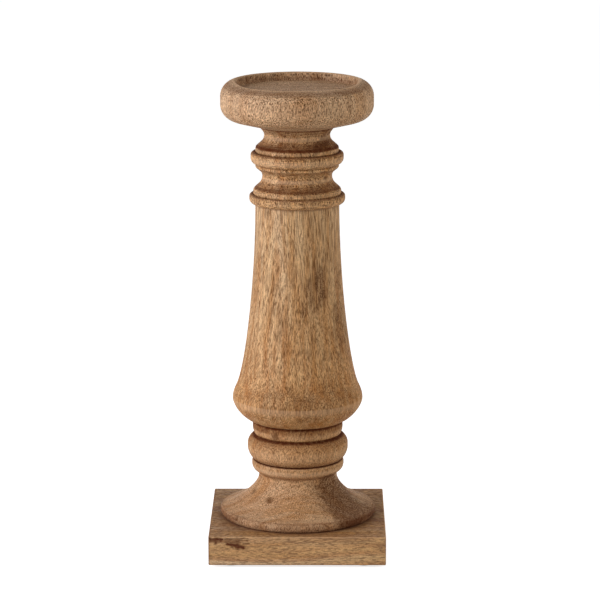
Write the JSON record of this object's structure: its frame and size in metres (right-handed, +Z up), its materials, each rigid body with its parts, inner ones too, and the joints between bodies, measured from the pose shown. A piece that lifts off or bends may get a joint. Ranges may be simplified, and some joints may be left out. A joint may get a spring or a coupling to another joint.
{
  "type": "candle stand",
  "caption": "Turned wooden candle stand: square plinth, bell foot, baluster shaft, ringed neck and a round dish with a flat recess that holds a pillar candle.",
  "frame": {"origin": "centre of the footprint, on the surface that the felt pads stand on", "axes": "+Z up the turning axis, from the plinth to the dish; -Y is the front, and X and Y run along the plinth's sides"},
  "size_m": [0.12, 0.12, 0.324],
  "materials": {
    "plinth_wood": "satin oil on planed board",
    "turned_wood": "satin oil on turned wood",
    "dowel_wood": "bare",
    "screw_steel": "yellow zinc plated",
    "pad_felt": "pressed felt"
  },
  "bodies": {
    "root": {"plinth": "plinth_wood", "foot": "turned_wood", "shaft": "turned_wood", "neck": "turned_wood", "dish": "turned_wood", "foot_dowel": "dowel_wood", "neck_dowel": "dowel_wood", "dish_dowel": "dowel_wood", "plinth_screws": "screw_steel", "felt_pad_front_left": "pad_felt", "felt_pad_front_right": "pad_felt", "felt_pad_back_left": "pad_felt", "felt_pad_back_right": "pad_felt"}
  },
  "joints": []
}
